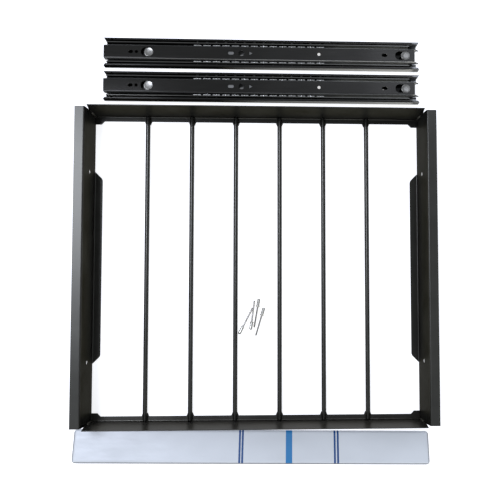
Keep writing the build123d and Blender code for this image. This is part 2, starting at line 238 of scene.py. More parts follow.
def mapped_range(tree, value, low, high, start=0.3, end=0.7):
    """Carries a value from start..end, by default the span that a noise fills, to low..high."""
    return add_node(
        tree, "MapRange", {"Value": value, "From Min": start, "From Max": end, "To Min": low, "To Max": high}
    ).outputs["Result"]


def blended(tree, factor, first, second):
    """First colour where the factor is 0, second where it is 1."""
    return add_node(tree, "Mix", {0: factor, 6: first, 7: second}, data_type="RGBA").outputs[2]


def uneven(tree, pattern, value, spread):
    """A value that follows a noise, by so large a share of it to either side."""
    return mapped_range(tree, pattern, value * (1 - spread), value * (1 + spread))


def mottled(tree, pattern, colour, dark, light):
    """Colour that follows a noise from a darker to a lighter shade, as factors of the colour."""
    return blended(tree, mapped_range(tree, pattern, 0.0, 1.0), scaled(colour, dark), scaled(colour, light))


def bumped(tree, height, depth):
    """Normal from a height pattern that is so many millimetres deep."""
    bump = add_node(tree, "Bump", {"Height": height, "Distance": depth * MM, "Strength": 1.0})
    return bump.outputs["Normal"]


def object_place(tree):
    """Place in the piece's own space."""
    return add_node(tree, "TexCoord").outputs["Object"]


def object_axis(tree, axis):
    """One coordinate in the piece's own space."""
    return add_node(tree, "SeparateXYZ", {"Vector": object_place(tree)}).outputs[axis]


def object_noise(tree, feature, detail=2.0, stretch=(1, 1, 1)):
    """Noise in the piece's own space, with features of about so many millimetres."""
    mapped = add_node(tree, "Mapping", {"Vector": object_place(tree), "Scale": stretch}).outputs["Vector"]
    grain = add_node(tree, "TexNoise", {"Vector": mapped, "Scale": 1 / (feature * MM), "Detail": detail})
    return grain.outputs["Fac"]


def new_material(name):
    """A material with an empty node tree."""
    material = bpy.data.materials.new(name)
    material.use_nodes = True
    material.node_tree.nodes.clear()
    return material, material.node_tree


def finish_surface(tree, tint, roughness, normal, others=None):
    """Ends a material in one shader; others holds its further inputs."""
    inputs = {"Base Color": tint, "Roughness": roughness, "Normal": normal, **(others or {})}
    shader = add_node(tree, "BsdfPrincipled", inputs)
    add_node(tree, "OutputMaterial", {"Surface": shader.outputs["BSDF"]})


# Share of the usual sheen that a black finish keeps at low angles, and a higher share on the front rail as
# painted sheen
LOW_ANGLE_SHEEN = 0.32
FRONT_RAIL_SHEEN = 0.43
# Share of a black finish that scatters light as paint does
COAT_HAZE = 0.14
PLATING_HAZE = 0.3
# Roughness of the powder coats
RACK_ROUGHNESS = 0.31
ROD_ROUGHNESS = 0.23
# Stretch of a noise along the slides or the strip: lines from rolling or brushing, and long faint clouds
ROLLED = (0.02, 1, 1)
LONG_CLOUDS = (0.3, 1, 1)


def dark_skin(tree, tint, roughness, normal, haze, sheen=LOW_ANGLE_SHEEN):
    """Black finish that reflects alike from head on to low angles, where its own texture shades it."""
    skin = {"Metallic": 1.0 - haze, "Specular IOR Level": 0.0, "Specular Tint": rgba([sheen] * 3)}
    finish_surface(tree, tint, roughness, normal, skin)


def powder_coat_material(name, colour, roughness, sheen=LOW_ANGLE_SHEEN):
    """Polyester powder coat, sprayed and baked on steel: satin black with a fine orange peel."""
    material, tree = new_material(name)
    clouds = object_noise(tree, feature=45.0, detail=3.0)
    peel = object_noise(tree, feature=1.6)
    tint = mottled(tree, clouds, colour, dark=0.9, light=1.1)
    smooth = uneven(tree, clouds, roughness, spread=0.07)
    dark_skin(tree, tint, smooth, bumped(tree, peel, depth=0.012), COAT_HAZE, sheen)
    return material


def black_plating_material(name, colour, marks=()):
    """Black plating on cold-rolled steel, with its rolling lines; marks pair a colour of painted light or
    shade with its place.
    """
    material, tree = new_material(name)
    rolling = object_noise(tree, feature=0.7, stretch=ROLLED)
    clouds = object_noise(tree, feature=30.0, detail=3.0, stretch=LONG_CLOUDS)
    tint = mottled(tree, rolling, colour, dark=0.88, light=1.14)
    for light_and_shade, where in marks:
        patchy = mapped_range(tree, clouds, low=0.75, high=1.0)
        tint = blended(tree, calculated(tree, "MULTIPLY", where(tree), patchy), tint, rgba(light_and_shade))
    smooth = mapped_range(tree, clouds, low=0.11, high=0.145)
    dark_skin(tree, tint, smooth, bumped(tree, rolling, depth=0.003), PLATING_HAZE)
    return material


def bare_metal_material(name, colour, roughness, grain, stretch=(1, 1, 1), depth=0.004):
    """Bare or thinly plated metal, with the marks that drawing, turning or brushing left in it."""
    material, tree = new_material(name)
    marks = object_noise(tree, grain, detail=3.0, stretch=stretch)
    tint = mottled(tree, marks, colour, dark=0.9, light=1.06)
    smooth = uneven(tree, marks, roughness, spread=0.15)
    finish_surface(tree, tint, smooth, bumped(tree, marks, depth), {"Metallic": 1.0})
    return material


def cage_zinc_material(name, bright, shade_colour):
    """Zinc plating on a pressed ball cage: bright along its upper edges, with painted shade below them."""
    material, tree = new_material(name)
    shade_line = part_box(slide_node(1, "inner_ball_cage"))[1].z - 0.4 * MM
    marks = object_noise(tree, feature=0.6, detail=3.0)
    zinc = mottled(tree, marks, bright, dark=0.85, light=1.05)
    tint = blended(tree, above(tree, shade_line, soft=0.6), rgba(shade_colour), zinc)
    smooth = mapped_range(tree, marks, low=0.26, high=0.34)
    finish_surface(tree, tint, smooth, bumped(tree, marks, depth=0.004), {"Metallic": 1.0})
    return material


def rubber_material(name, colour):
    """Moulded nitrile rubber: dull black with a faint eroded texture."""
    material, tree = new_material(name)
    grain = object_noise(tree, feature=0.5, detail=3.0)
    tint = mottled(tree, grain, colour, dark=0.85, light=1.2)
    finish_surface(tree, tint, mapped_range(tree, grain, low=0.6, high=0.72), bumped(tree, grain, depth=0.02))
    return material


# Painted light and shade on the slides, read from light and dark places in the photograph. Each pair says
# where a mark starts and where it is full, in mm from: the row's middle, the outer member's right end, the
# middle member's right end, the inner ball cage's right end, and the edge of the inner member
HIGHLIGHT_REACH = (-60.0, 200.0)
LIT_END_REACH = (-13.0, -8.0)
WEB_SHADE_REACH = (-50.0, -40.0)
LIT_TRACK_REACH = (-10.0, 30.0)
GROOVE_REACH = (-1.5, -0.5)
# Painted light on the middle members' web: start from the slide's left end, and length, in mm
LIT_PATCH = (192.0, 44.0)


def above(tree, height, soft):
    """0 lower down, 1 from a height over the floor up, with a soft edge of so many millimetres below it."""
    return mapped_range(tree, object_axis(tree, "Z"), 0.0, 1.0, height - soft * MM, height)


def along_slide(tree, place, reach, least=0.0):
    """Rises along the slides from its least value to 1, over a reach that is counted from a place."""
    start, end = (place + distance * MM for distance in reach)
    return mapped_range(tree, object_axis(tree, "X"), least, 1.0, start, end)


def sideways_highlight(tree, flattest, steepest, least):
    """Painted highlight on what turns sideways, growing from its least value towards the right end of a
    slide.
    """
    facing = add_node(tree, "NewGeometry").outputs["Normal"]
    side = add_node(tree, "SeparateXYZ", {"Vector": facing}).outputs["Y"]
    steep = mapped_range(tree, calculated(tree, "ABSOLUTE", side), 0.0, 1.0, flattest, steepest)
    return calculated(tree, "MULTIPLY", steep, along_slide(tree, 0.0, HIGHLIGHT_REACH, least))


def fold_highlight(tree):
    """Painted highlight on the folded edges and walls of an inner member."""
    return sideways_highlight(tree, flattest=0.32, steepest=0.5, least=0.35)


def wall_highlight(tree):
    """Painted highlight on the walls of an outer member, on its right half alone."""
    return sideways_highlight(tree, flattest=0.55, steepest=0.8, least=0.0)


def lit_end(tree):
    """Painted light on the right end of an outer member."""
    return along_slide(tree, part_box(slide_node(1, "outer_member"))[1].x, LIT_END_REACH)


def rim_highlight(tree):
    """Painted highlight on the sheared upper rims of a middle member."""
    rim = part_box(slide_node(1, "middle_member"))[1].z - 0.05 * MM
    return above(tree, rim, soft=0.2)


def beside_axis(tree):
    """0 under the web of a slide's inner member, 1 in the grooves at its sides."""
    across = object_axis(tree, "Y")
    distances = []
    for number in (1, 2):
        row = node_middle(slide_node(number, "inner_member")).y
        distances.append(calculated(tree, "ABSOLUTE", calculated(tree, "SUBTRACT", across, row)))
    nearest = calculated(tree, "MINIMUM", *distances)
    low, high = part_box(slide_node(1, "inner_member"))
    start, end = ((high.y - low.y) / 2 + distance * MM for distance in GROOVE_REACH)
    return mapped_range(tree, nearest, 0.0, 1.0, start, end)


def middle_web(tree):
    """1 on the web of a slide's middle member, under the inner member, 0 beside it."""
    return calculated(tree, "SUBTRACT", 1.0, beside_axis(tree))


def shaded_web(tree):
    """Painted shade on the right end of a middle member's web."""
    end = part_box(slide_node(1, "middle_member"))[1].x
    return calculated(tree, "MULTIPLY", middle_web(tree), along_slide(tree, end, WEB_SHADE_REACH))


def lit_patch(tree):
    """Painted light on a middle member's web under the release mark of the inner member."""
    offset, length = LIT_PATCH
    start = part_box(slide_node(1, "outer_member"))[0].x
    from_start = along_slide(tree, start, (offset, offset + 1))
    to_end = along_slide(tree, start, (offset + length, offset + length - 1))
    return calculated(tree, "MULTIPLY", middle_web(tree), calculated(tree, "MULTIPLY", from_start, to_end))


def lit_track(tree):
    """Painted light on a middle member's floor, beyond the right end of the inner ball cage."""
    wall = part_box(slide_node(1, "middle_member"))[1].z - 2 * MM
    low = calculated(tree, "SUBTRACT", 1.0, above(tree, wall, soft=1.0))
    floor = calculated(tree, "MULTIPLY", low, beside_axis(tree))
    cage_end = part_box(slide_node(1, "inner_ball_cage"))[1].x
    return calculated(tree, "MULTIPLY", floor, along_slide(tree, cage_end, LIT_TRACK_REACH))


# Stripes across the film: middle in mm from the strip's middle, width in mm, and lean in mm of shift per mm
# across
WIDE_STRIPES = ((55.5, 9.9, 0.0),)
THIN_STRIPES = ((-20.3, 3.0, 0.006), (-15.9, 3.0, 0.006), (126.2, 3.0, 0.0), (131.1, 3.0, 0.0))
# Half the width of a stripe's soft edge, in mm
STRIPE_BLUR = 0.1
# Where the painted shade on the film at the folds starts and is full, in mm from the edge of the strip's face
FOLD_SHADE_REACH = (2.6, 0.9)
FILM_IOR = 1.51


def stripe_mask(tree, along, across, stripes):
    """1 inside any of the stripes, 0 outside."""
    total = None
    for middle, width, lean in stripes:
        place = calculated(tree, "SUBTRACT", along, calculated(tree, "MULTIPLY", across, lean))
        distance = calculated(tree, "ABSOLUTE", calculated(tree, "SUBTRACT", place, middle * MM))
        inside = mapped_range(
            tree, distance, 1.0, 0.0, (width / 2 - STRIPE_BLUR) * MM, (width / 2 + STRIPE_BLUR) * MM
        )
        total = inside if total is None else calculated(tree, "MAXIMUM", total, inside)
    return total


def fold_shade_mask(tree, along, across, sizes):
    """1 at the strip's ends and outer edge, where shade is painted on the film over the folds, 0 on its face.
    """
    start, full = FOLD_SHADE_REACH
    ends = calculated(tree, "ABSOLUTE", along)
    outer = calculated(tree, "MULTIPLY", across, -1.0)
    masks = [
        mapped_range(tree, reach, 0.0, 1.0, length / 2 - start * MM, length / 2 - full * MM)
        for reach, length in ((ends, sizes.strip_length), (outer, sizes.strip_face))
    ]
    return calculated(tree, "MAXIMUM", *masks)


def film_material(name, colours, sizes):
    """Polyethylene protective film on steel: milky bluish white, softly glossy, with blue stripes in print
    and painted shade at its folds.
    """
    material, tree = new_material(name)
    middle = node_middle("protective_film")
    centred = add_node(tree, "VectorMath", {0: object_place(tree), 1: middle}, operation="SUBTRACT")
    turn = {"Vector": centred.outputs[0], "Angle": -sizes.strip_turn}
    turned = add_node(tree, "VectorRotate", turn, rotation_type="Z_AXIS")
    split = add_node(tree, "SeparateXYZ", {"Vector": turned.outputs[0]})
    along, across = split.outputs["X"], split.outputs["Y"]
    clouds = object_noise(tree, feature=60.0, stretch=(0.5, 1, 1))
    creases = object_noise(tree, feature=7.0, detail=4.0, stretch=(0.25, 1, 1))
    print_and_shade = mottled(tree, clouds, colours.film_tint, dark=0.93, light=1.05)
    layers = (
        (stripe_mask(tree, along, across, WIDE_STRIPES), colours.film_stripe),
        (stripe_mask(tree, along, across, THIN_STRIPES), colours.film_line),
        # Painted shade on the film over the strip's folds
        (fold_shade_mask(tree, along, across, sizes), colours.film_fold_shade),
    )
    for mask, colour in layers:
        print_and_shade = blended(tree, mask, print_and_shade, rgba(colour))
    smooth = mapped_range(tree, creases, low=0.3, high=0.42)
    finish_surface(tree, print_and_shade, smooth, bumped(tree, creases, depth=0.06), {"IOR": FILM_IOR})
    return material


# Faces that meet at a sharper angle than this, in degrees, keep a crisp edge
SHARP_ANGLE = 35
# Sides of the turned discs, weld beads, and floor and wall
DISC_STEPS = 48
BEAD_STEPS = 20
STAGE_STEPS = 64


def give_material(piece, material):
    """Gives an object a material as its only one."""
    piece.data.materials.clear()
    piece.data.materials.append(material)


def coat_nodes(material, names):
    """Gives frame nodes a material."""
    for name in names:
        give_material(frame["nodes"][name], material)


def nodes_named(start):
    """Frame nodes whose names start alike."""
    return [name for name in frame["nodes"] if name.startswith(start)]


def object_from(shape, name, material):
    """Makes a finished bmesh an object in the scene."""
    mesh = bpy.data.meshes.new(name)
    shape.to_mesh(mesh)
    shape.free()
    piece = bpy.data.objects.new(name, mesh)
    bpy.context.scene.collection.objects.link(piece)
    give_material(piece, material)
    return piece


def piece_from(shape, name, material, body, replaced, smooth=True):
    """Makes a finished bmesh a piece that rides on a body and stands for frame nodes."""
    for face in shape.faces:
        face.smooth = smooth
    piece = object_from(shape, name, material)
    if smooth:
        piece.data.set_sharp_from_angle(angle=math.radians(SHARP_ANGLE))
    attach(piece, body)
    if replaced:
        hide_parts(*replaced)
    return piece


def everything(shape):
    """All vertices, edges and faces of a bmesh."""
    return list(shape.verts) + list(shape.edges) + list(shape.faces)


def spun(profile, steps, axis):
    """Solid or sheet turned about an axis through the origin from a profile of places and radii."""
    shape = bmesh.new()
    across = UP if axis == ALONG else ALONG
    rim = [shape.verts.new(axis * place + across * radius) for place, radius in profile]
    edges = [shape.edges.new(pair) for pair in zip(rim, rim[1:])]
    bmesh.ops.spin(
        shape, geom=rim + edges, axis=axis, cent=(0, 0, 0), angle=math.tau, steps=steps, use_merge=True
    )
    bmesh.ops.remove_doubles(shape, verts=shape.verts, dist=TOUCHING)
    bmesh.ops.recalc_face_normals(shape, faces=shape.faces)
    return shape


def quarter_turn(steps, first=0):
    """Sine and cosine of evenly spaced angles up to a right angle."""
    angles = [n / steps * math.pi / 2 for n in range(first, steps + 1)]
    return [(math.sin(angle), math.cos(angle)) for angle in angles]


def add_copy(target, source, matrix):
    """Adds a moved copy of one bmesh to another."""
    copy = source.copy()
    bmesh.ops.transform(copy, matrix=matrix, verts=copy.verts)
    mesh = bpy.data.meshes.new("copy")
    copy.to_mesh(mesh)
    copy.free()
    target.from_mesh(mesh)
    bpy.data.meshes.remove(mesh)


def copies(single, matrices):
    """One bmesh of a shape's copies; the shape itself is freed."""
    group = bmesh.new()
    for matrix in matrices:
        add_copy(group, single, matrix)
    single.free()
    return group


def bevel_edges(shape, edges, width):
    """Rounds edges."""
    bmesh.ops.bevel(
        shape,
        geom=edges,
        offset=width,
        offset_type="OFFSET",
        affect="EDGES",
        segments=8,
        profile=0.5,
        material=-1,
        clamp_overlap=True,
    )


# From the strip's face up to its film, and from the middle of the film's CAD box down to the face, in mm
FILM_GAP = 0.02
FILM_DROP = 0.075
# How far the film's ends are drawn in, as a share of its thickness
FILM_DRAW = 0.8
# How far down the strip's folds the film reaches, as a share of their radius
FILM_REACH = 0.92
# Pieces that the film is cut into along and across, so that it can rise in blisters
FILM_CUTS = (64, 8)
# Blisters per metre along and across
BLISTERS = (28, 90)


def film_shape(sizes):
    """Film over the strip's face and bends, drawn tight over its ends, with a few low air blisters."""
    lift = FILM_GAP * MM
    half_length = sizes.strip_length / 2 + lift - FILM_DRAW * sizes.film_thickness
    half_width = sizes.strip_face / 2 + lift
    depth = 2 * sizes.strip_bend
    shape = bmesh.new()
    bmesh.ops.create_cube(shape, size=1.0)
    bmesh.ops.scale(shape, vec=(2 * half_length, 2 * half_width, depth), verts=shape.verts)
    bmesh.ops.translate(shape, vec=(0, 0, lift - depth / 2), verts=shape.verts)
    uprights = [e for e in shape.edges if abs(e.verts[0].co.z - e.verts[1].co.z) > depth / 2]
    bevel_edges(shape, uprights, sizes.strip_corner)
    rim = [e for e in shape.edges if min(v.co.z for v in e.verts) > 0 and len(e.link_faces) == 2]
    bevel_edges(shape, rim, sizes.strip_bend)
    skirt = [f for f in shape.faces if f.calc_center_median().z < -FILM_REACH * sizes.strip_bend]
    bmesh.ops.delete(shape, geom=skirt, context="FACES")
    for axis, half, cuts in zip((ALONG, ACROSS), (half_length, half_width), FILM_CUTS):
        for n in range(1, cuts):
            place = axis * (half * (2 * n / cuts - 1))
            bmesh.ops.bisect_plane(
                shape, geom=everything(shape), plane_co=place, plane_no=axis, dist=TOUCHING
            )
    for vertex in shape.verts:
        if vertex.co.z > 0:
            place = Vector((vertex.co.x * BLISTERS[0], vertex.co.y * BLISTERS[1], 0))
            vertex.co.z += max(0.0, noise.noise(place)) * sizes.film_lift
    bmesh.ops.recalc_face_normals(shape, faces=shape.faces)
    bmesh.ops.solidify(shape, geom=shape.faces, thickness=-sizes.film_thickness)
    return shape


def strip_matrix(sizes):
    """Place of the strip's face in the row: on its middle, turned on the floor and tilted."""
    tilt = Matrix.Rotation(-sizes.strip_tilt, 4, "X")
    turn = Matrix.Rotation(sizes.strip_turn, 4, "Z")
    down = Vector((0, 0, -FILM_DROP * MM))
    return Matrix.Translation(node_middle("protective_film")) @ turn @ tilt @ Matrix.Translation(down)


def rivet_body_profile(s):
    """Tube with a domed flange; its places run from the blind end."""
    bore = s.pin_radius + 0.05 * MM
    chamfer = 0.15 * MM
    rim = 0.1 * MM
    fullness = 0.8
    wall = s.rivet_body_radius
    end = s.rivet_body_length
    profile = [(0.0, bore), (0.0, wall - chamfer), (chamfer, wall), (end, wall)]
    profile += [(end, s.rivet_flange_radius - rim), (end + rim, s.rivet_flange_radius)]
    for sine, cosine in quarter_turn(6, first=1):
        radius = bore + (s.rivet_flange_radius - bore) * cosine**fullness
        profile.append((end + rim + (s.rivet_flange_height - rim) * sine, radius))
    profile.append((0.0, bore))
    return profile


def pin_profile(s):
    """Pulling pin with a round head, a smooth neck and grip ribs towards its blunt point."""
    neck, end_margin, point = 3.0 * MM, 2.5 * MM, 1.2 * MM
    groove = s.pin_radius - 0.22 * MM
    rib = ((0.0, s.pin_radius), (0.3 * MM, groove), (0.9 * MM, groove), (1.2 * MM, s.pin_radius))
    blunt_radius = 0.45 * s.pin_radius
    flange_end = s.rivet_body_length + s.rivet_flange_height
    length = flange_end + s.pin_tail
    profile = [(-s.pin_head, 0.0)]
    for sine, cosine in quarter_turn(6, first=1):
        profile.append((-s.pin_head * cosine, s.rivet_body_radius * sine))
    profile.append((0.0, s.pin_radius))
    first_rib = flange_end + neck
    rib_count = int((length - end_margin - first_rib) / s.pin_rib_pitch)
    for n in range(rib_count):
        profile += [(first_rib + n * s.pin_rib_pitch + place, radius) for place, radius in rib]
    profile += [(length - point, s.pin_radius), (length, blunt_radius), (length, 0.0)]
    return profile


# Middle of each rivet from the rack's middle, in mm, and its heading from body end to pin end in degrees
RIVET_SPOTS = ((-18.2, -84.1, 62.9), (-7.8, -75.1, 82.5), (-1.4, -71.9, 260.6), (3.7, -85.3, 253.7))


def rivet_matrices(s):
    """Each rivet lies on its flange rim and the tip of its pin."""
    flange_end = s.rivet_body_length + s.rivet_flange_height
    lean = math.atan((s.rivet_flange_radius - s.pin_radius) / s.pin_tail)
    height = s.rivet_flange_radius * math.cos(lean)
    middle = flange_end - (flange_end + s.pin_tail - s.pin_head) / 2
    on_flange = Matrix.Translation((-flange_end, 0, 0))
    leaning = Matrix.Translation((middle, 0, 0)) @ Matrix.Rotation(lean, 4, "Y") @ on_flange
    matrices = []
    for x, y, heading in RIVET_SPOTS:
        place = Vector((RACK_MIDDLE.x + x * MM, RACK_MIDDLE.y + y * MM, height))
        turn = Matrix.Rotation(math.radians(heading), 4, "Z")
        matrices.append(Matrix.Translation(place) @ turn @ leaning)
    return matrices


def disc_profile(s):
    """Flush disc with a rounded edge and a shallow dish, over the rim that holds it."""
    top = s.disc_thickness
    edge = 0.35 * MM
    rim_radius = s.disc_radius + s.disc_rim_width
    profile = [(-s.disc_rim, 0.0), (-s.disc_rim, rim_radius), (0.0, rim_radius), (0.0, s.disc_radius)]
    for sine, cosine in quarter_turn(4):
        profile.append((top - edge + edge * sine, s.disc_radius - edge + edge * cosine))
    dish_radius = s.disc_radius - 2.2 * edge
    flat_middle = 0.98
    rings = 5
    for n in range(rings):
        angle = n / rings * math.pi / 2
        profile.append((top - s.disc_dish * math.sin(angle), dish_radius * math.cos(angle * flat_middle)))
    profile.append((top - s.disc_dish, 0.0))
    return profile


def discs_shape(s, node):
    """Both discs of a slide, one at each end of its node's box."""
    low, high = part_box(node)
    reach = (high.y - low.y) / 2
    under = high.z - s.disc_thickness
    spots = [Vector((x, (low.y + high.y) / 2, under)) for x in (low.x + reach, high.x - reach)]
    single = spun(disc_profile(s), DISC_STEPS, UP)
    return copies(single, [Matrix.Translation(spot) for spot in spots])


# Release leaf under the slot and under the arrow: start from the slide's left end, and length, in mm
LEAF_PARTS = ((193.0, 12.6), (225.5, 9.0))


def leaf_shape(s, number):
    """Thin leaf that shows through the slot and the arrow of a slide's inner member."""
    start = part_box(slide_node(number, "outer_member"))[0].x
    inner = slide_node(number, "inner_member")
    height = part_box(inner)[1].z - s.leaf_depth - s.leaf_thickness / 2
    shape = bmesh.new()
    for place, length in LEAF_PARTS:
        middle = Matrix.Translation((start + (place + length / 2) * MM, node_middle(inner).y, height))
        size = Matrix.Diagonal((length * MM, s.leaf_width, s.leaf_thickness, 1.0))
        bmesh.ops.create_cube(shape, size=1.0, matrix=middle @ size)
    return shape


# Rings of vertices on each ripple of a weld bead
RIPPLE_RINGS = 4
# Radius of a bead's ends as a share of its own, and how steeply it grows from there
BEAD_END = 0.75
BEAD_GROWTH = 3


def weld_bead(s, low, high):
    """Rippled upright bead, round its own middle."""
    rings = max(RIPPLE_RINGS, round((high - low) / s.bead_pitch * RIPPLE_RINGS))
    profile = [(low, 0.0)]
    for n in range(rings + 1):
        place = low + (high - low) * n / rings
        wave = math.sin(math.tau * n / RIPPLE_RINGS)
        taper = min(1.0, BEAD_GROWTH * min(n, rings - n) / rings + BEAD_END)
        profile.append((place, (s.bead_radius - s.bead_ripple * (1 - wave) / 2) * taper))
    profile.append((high, 0.0))
    return spun(profile, BEAD_STEPS, UP)


def welds_shape(s):
    """A quarter of a bead up each inner corner of the frame."""
    low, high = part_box("corner_welds")
    shape = bmesh.new()
    for x, sign_x in ((low.x, 1), (high.x, -1)):
        for y, sign_y in ((low.y, 1), (high.y, -1)):
            bead = weld_bead(s, low.z, high.z)
            for normal in ((-sign_x, 0, 0), (0, -sign_y, 0)):
                cut = bmesh.ops.bisect_plane(
                    bead, geom=everything(bead), plane_co=(0, 0, 0), plane_no=normal, clear_outer=True
                )
                rim = [e for e in cut["geom_cut"] if isinstance(e, bmesh.types.BMEdge)]
                bmesh.ops.edgeloop_fill(bead, edges=rim)
            bmesh.ops.recalc_face_normals(bead, faces=bead.faces)
            add_copy(shape, bead, Matrix.Translation((x, y, 0)))
            bead.free()
    return shape


def hole_rims_shape(s):
    """Thin rim in each rivet hole of the side webs, through the thickness of the sheet, near white as painted
    light seen through the hole.
    """
    inner = s.rivet_hole_radius - s.hole_rim_wall
    half = s.hole_rim_length / 2
    profile = [(-half, inner), (-half, s.rivet_hole_radius), (half, s.rivet_hole_radius), (half, inner)]
    matrices = []
    for side in (-1, 1):
        x = RACK_MIDDLE.x + side * s.web_middle
        for end in (-1, 1):
            y = RACK_MIDDLE.y + end * s.rivet_hole_spacing / 2
            matrices.append(Matrix.Translation((x, y, s.rivet_hole_height)))
    single = spun(profile + profile[:1], s.turn_steps, ALONG)
    return copies(single, matrices)


class WINERACK_OT_coat_frame(bpy.types.Operator):
    """Powder coats the rack's rails and rods and lays its weld beads"""

    bl_idname = "wine_rack.coat_frame"
    bl_label = "Coat frame and rods"

    def execute(self, context):
        sizes = context.scene.wine_rack_sizes
        colours = context.scene.wine_rack_colours
        coat = powder_coat_material("satin_black_powder_coat", colours.rack_coat, RACK_ROUGHNESS)
        coat_nodes(coat, nodes_named("frame_"))
        # Painted light: the front rail gets a lighter copy of the coat with more sheen at low angles
        lit_front = powder_coat_material(
            "lit_front_powder_coat", colours.lit_front_coat, RACK_ROUGHNESS, FRONT_RAIL_SHEEN
        )
        coat_nodes(lit_front, ["frame_front_rail"])
        rod_coat = powder_coat_material("semi_gloss_rod_coat", colours.rack_coat, ROD_ROUGHNESS)
        coat_nodes(rod_coat, nodes_named("bottle_rod_"))
        piece_from(welds_shape(sizes), "weld_beads", coat, "base", ["corner_welds"])
        # The hole rims are near white as painted light seen through the holes
        lit_rim = bare_metal_material("hole_rim_painted_light", colours.lit_hole_rim, roughness=0.45, grain=0.5)
        piece_from(hole_rims_shape(sizes), "lit_hole_rims", lit_rim, "base", [])
        return {"FINISHED"}


class WINERACK_OT_film_strip(bpy.types.Operator):
    """Brushes the front strip and lays the protective film over it"""

    bl_idname = "wine_rack.film_strip"
    bl_label = "Strip and film"

    def execute(self, context):
        sizes = context.scene.wine_rack_sizes
        colours = context.scene.wine_rack_colours
        steel = bare_metal_material(
            "brushed_stainless_steel", colours.strip_steel, roughness=0.3, grain=0.6, stretch=ROLLED
        )
        coat_nodes(steel, ["front_strip"])
        film = film_material("polyethylene_protective_film", colours, sizes)
        shape = film_shape(sizes)
        bmesh.ops.transform(shape, matrix=strip_matrix(sizes), verts=shape.verts)
        piece_from(shape, "film_over_strip", film, "base", ["protective_film"])
        return {"FINISHED"}


class WINERACK_OT_turn_rivets(bpy.types.Operator):
    """Turns the four blind rivets and their ribbed pins"""

    bl_idname = "wine_rack.turn_rivets"
    bl_label = "Blind rivets"

    def execute(self, context):
        sizes = context.scene.wine_rack_sizes
        colours = context.scene.wine_rack_colours
        aluminium = bare_metal_material("drawn_aluminium", colours.rivet_aluminium, roughness=0.28, grain=0.4)
        zinc = bare_metal_material("zinc_plated_steel", colours.pin_steel, roughness=0.25, grain=0.4)
        makes = (
            ("domed_rivet_bodies", rivet_body_profile, aluminium, "rivet_bodies", "rivet_aluminium"),
            ("ribbed_rivet_pins", pin_profile, zinc, "rivet_mandrels", "mandrel_steel"),
        )
        for name, profile, material, node, slot in makes:
            single = spun(profile(sizes), sizes.turn_steps, ALONG)
            group = copies(single, rivet_matrices(sizes))
            piece_from(group, name, material, "base", [node])
        return {"FINISHED"}


class WINERACK_OT_finish_slides(bpy.types.Operator):
    """Plates both slides and fits their dished steel discs and release leaves"""

    bl_idname = "wine_rack.finish_slides"
    bl_label = "Telescopic slides"

    def execute(self, context):
        sizes = context.scene.wine_rack_sizes
        colours = context.scene.wine_rack_colours
        finishes = self.finishes(colours)
        nickel = bare_metal_material(
            "nickel_plated_steel", colours.disc_steel, roughness=0.24, grain=0.9, depth=0.003
        )
        zinc = bare_metal_material("zinc_plated_leaf", colours.leaf_zinc, roughness=0.4, grain=0.8)
        for number in (1, 2):
            for part, material in finishes.items():
                coat_nodes(material, [slide_node(number, part)])
            body = f"slide_{number}_inner"
            node = slide_node(number, "disc_studs")
            discs = discs_shape(sizes, node)
            piece_from(discs, f"dished_discs_{number}", nickel, body, [node])
            leaf = leaf_shape(sizes, number)
            piece_from(leaf, f"release_leaf_{number}", zinc, body, [], smooth=False)
        return {"FINISHED"}

    def finishes(self, colours):
        """Materials of the parts that both slides have."""
        # Painted light and shade on the slide members, each colour with the place where it lies
        marks = {
            "outer_member": ((colours.slide_highlight, wall_highlight), (colours.slide_end_light, lit_end)),
            "middle_member": (
                (colours.slide_rim_highlight, rim_highlight),
                (colours.slide_track_light, lit_track),
                (colours.slide_web_shade, shaded_web),
                (colours.slide_patch_light, lit_patch),
            ),
            "inner_member": ((colours.slide_highlight, fold_highlight),),
        }
        finishes = {
            part: black_plating_material(f"black_plated_{part}_steel", colours.slide_coat, light_and_shade)
            for part, light_and_shade in marks.items()
        }
        finishes["outer_ball_cage"] = black_plating_material("black_plated_cage", colours.cage_black_and_shade)
        # Painted shade: the outer rows' balls are darkened in their deep gap
        finishes["outer_balls"] = bare_metal_material(
            "shaded_bearing_steel", colours.shaded_ball_steel, roughness=0.35, grain=3.0, depth=0.0005
        )
        # The inner cages take the black plating's colour as painted shade below their upper edges
        finishes["inner_ball_cage"] = cage_zinc_material(
            "zinc_plated_cage", colours.cage_zinc, colours.cage_black_and_shade
        )
        finishes["inner_balls"] = bare_metal_material(
            "polished_bearing_steel", colours.ball_steel, roughness=0.1, grain=3.0, depth=0.0005
        )
        finishes["rear_buffer"] = rubber_material("nitrile_rubber", colours.buffer_rubber)
        return finishes


# Camera of the photograph: place from the row's origin in metres and its small tilts in degrees
CAMERA_PLACE = (0.012, -0.0631, 0.971)
CAMERA_TILT = (2.946, -2.346, -0.03)
CAMERA_LENS = 44.3
CAMERA_SHIFT = (-0.074, 0.018)

# Soft window panes above the back left and a faint bay of ceiling light above the back right:
# middle and size across and along in metres, then radiance
PANES = (
    (-0.86, 0.64, 0.7, 0.38, 18.0),
    (-0.86, 0.25, 0.7, 0.4, 12.3),
    (-0.86, -0.15, 0.7, 0.4, 2.3),
    (0.15, 1.12, 0.3, 0.5, 0.5),
    (0.43, 1.12, 0.26, 0.5, 1.2),
    (0.73, 1.12, 0.34, 0.5, 3.0),
)
PANE_HEIGHT = 2.06
# Low panel in front: middle, then size and radiance, and the lean of its face from straight down in degrees
PANEL_PLACE = (0.35, -2.3, 1.25)
PANEL_SIZE = (2.2, 1.0)
PANEL_RADIANCE = 2.2
PANEL_LEAN = 66.0
WORLD_STRENGTH = 0.7
WORLD_TINT = "#e9f0ff"
PANE_TINT = "#e2e9ff"
# Light that the floor sends to the camera by itself, so that it reads as white
FLOOR_GLOW = 0.72


